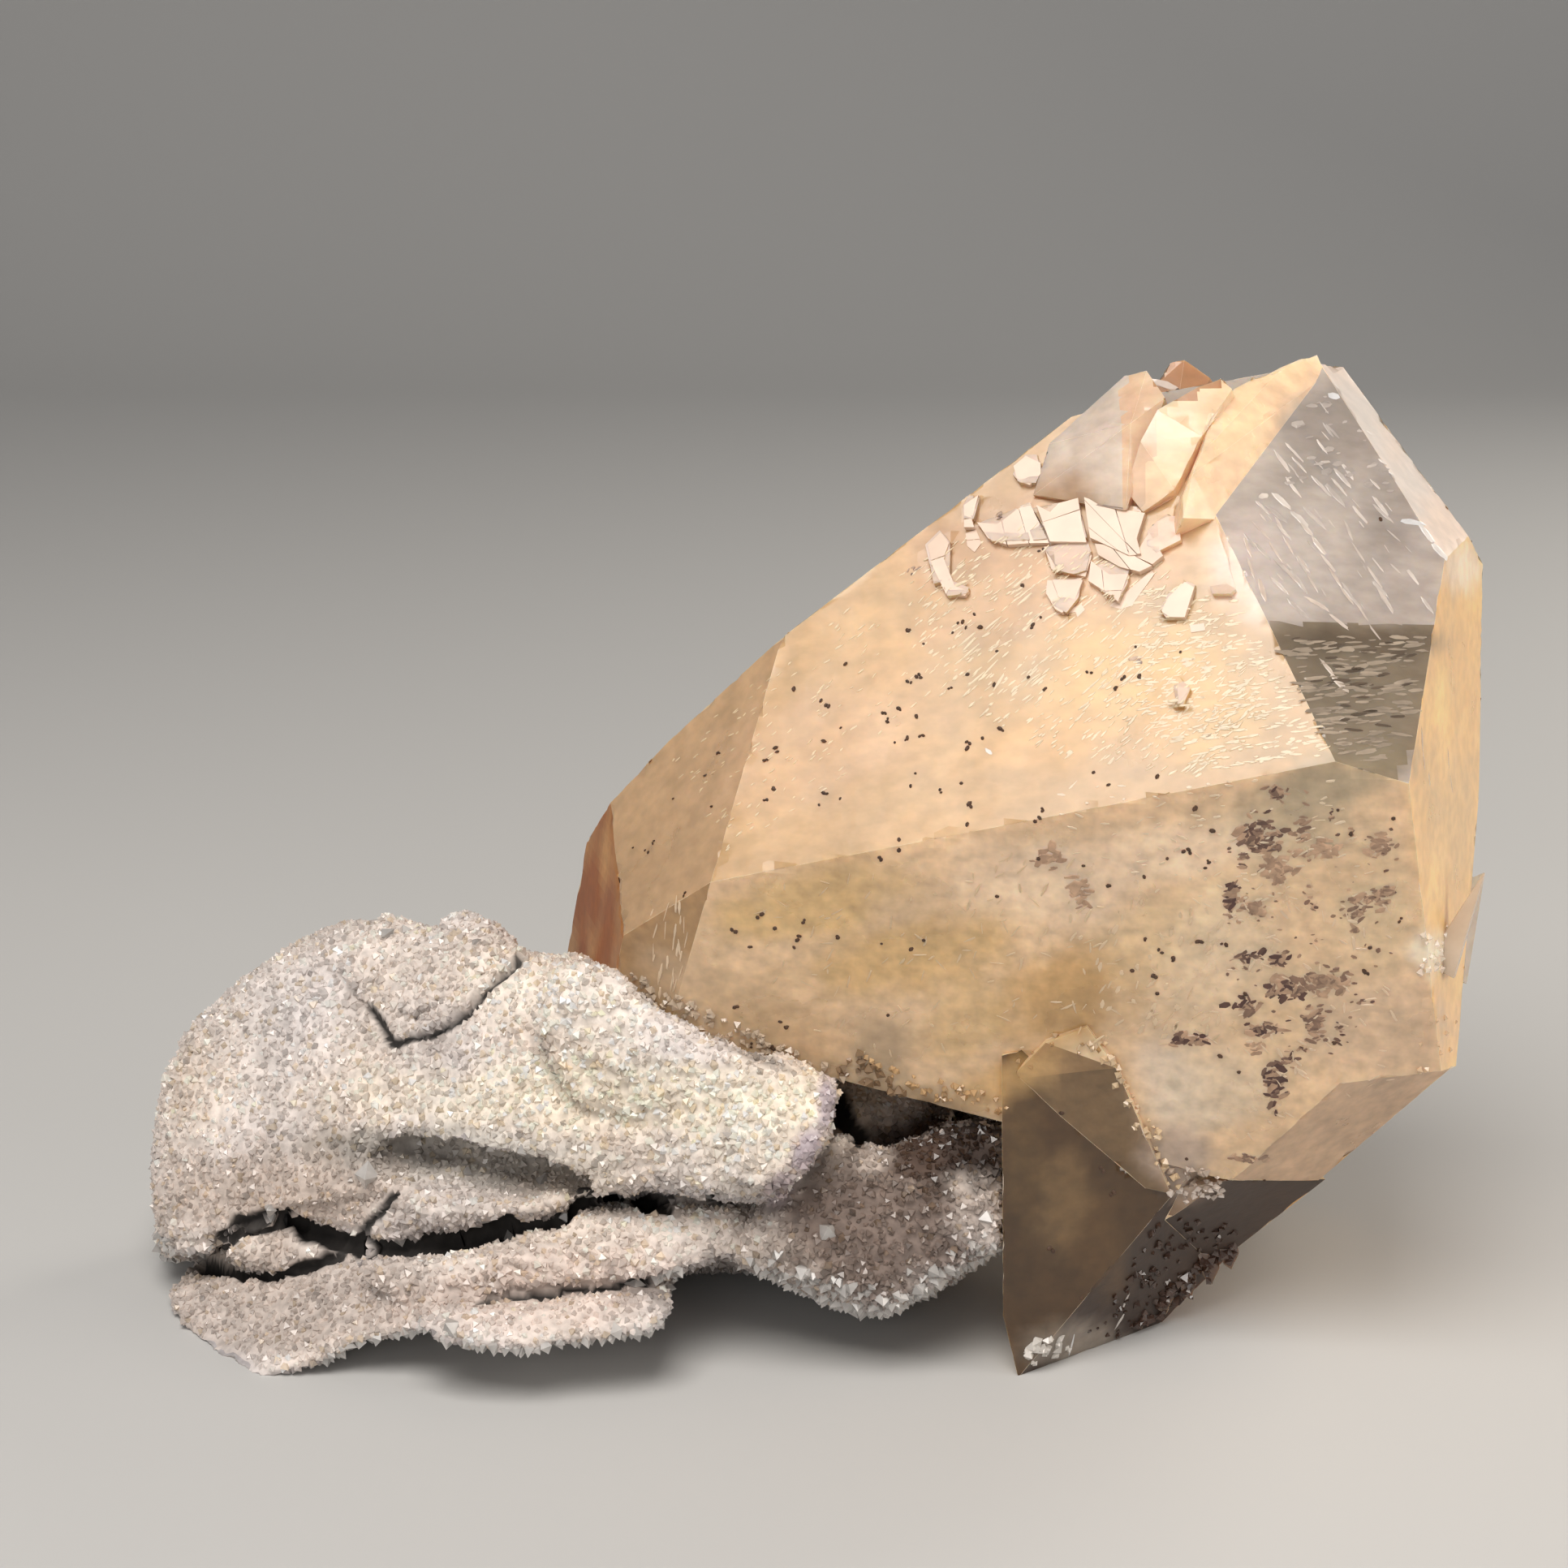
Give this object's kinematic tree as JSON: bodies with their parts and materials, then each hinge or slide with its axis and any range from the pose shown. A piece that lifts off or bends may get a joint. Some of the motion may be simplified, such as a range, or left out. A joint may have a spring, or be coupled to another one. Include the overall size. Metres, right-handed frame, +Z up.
{
  "type": "calcite crystal specimen",
  "caption": "Golden calcite crystal group, flat-faced and translucent, grown on a slab of layered grey rock that is coated with tiny crystals.",
  "frame": {"origin": "middle of the bounding box, on the ground under the specimen", "axes": "+X to the right of the pictured side, +Y away from the pictured side, +Z up"},
  "size_m": [0.1154, 0.056, 0.0817],
  "materials": {
    "calcite": "glossy, translucent",
    "matrix": "rough, sugary"
  },
  "bodies": {
    "root": {"calcite_crystals": "calcite", "matrix_rock": "matrix"}
  },
  "joints": []
}
